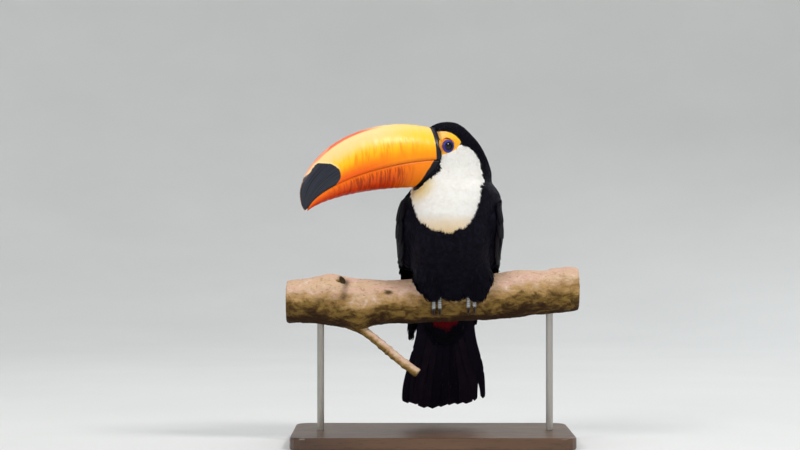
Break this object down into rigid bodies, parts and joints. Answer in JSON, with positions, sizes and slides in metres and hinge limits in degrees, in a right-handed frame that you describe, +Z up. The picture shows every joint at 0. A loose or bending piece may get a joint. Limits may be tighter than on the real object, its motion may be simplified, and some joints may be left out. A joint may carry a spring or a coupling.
{
  "type": "toucan model",
  "caption": "Still, life-size toco toucan with its head turned, perched on a cut length of branch that two rods hold over a flat base.",
  "frame": {"origin": "centre of the stand base's underside, on the floor", "axes": "+Z up, the breast faces -Y, and +X is the bird's left; the bill points along -X, a little towards -Y"},
  "size_m": [0.335, 0.1992, 0.3686],
  "materials": {
    "plumage_black": "soft black feathers with a faint blue sheen",
    "plumage_white": "soft off-white feathers, cream at the lower edge",
    "plumage_red": "soft crimson feathers",
    "bill_orange": "smooth satin horn, yellow above and orange below, with a black spot at the tip",
    "bill_red": "smooth satin horn, red-orange with fine darker streaks",
    "eye": "wet gloss, dark",
    "foot_skin": "matte blue-grey scaled skin",
    "claw": "satin dark horn",
    "bark": "thin matte bark over bare wood",
    "stand_board": "dark oiled board",
    "stand_metal": "satin metal rod"
  },
  "bodies": {
    "root": {"head": "plumage_black", "neck": "plumage_white", "trunk": "plumage_black", "wing_left": "plumage_black", "wing_right": "plumage_black", "thigh_left": "plumage_black", "thigh_right": "plumage_black", "rump": "plumage_white", "undertail": "plumage_red", "tail": "plumage_black", "bill_upper": "bill_orange", "bill_lower": "bill_red", "eye_left": "eye", "eye_right": "eye", "foot_left": "foot_skin", "foot_right": "foot_skin", "claw_front_inner_left": "claw", "claw_front_inner_right": "claw", "claw_front_outer_left": "claw", "claw_front_outer_right": "claw", "claw_back_inner_left": "claw", "claw_back_inner_right": "claw", "claw_back_outer_left": "claw", "claw_back_outer_right": "claw", "branch": "bark", "twig": "bark", "stand_base": "stand_board", "stand_rod_left": "stand_metal", "stand_rod_right": "stand_metal"}
  },
  "joints": []
}
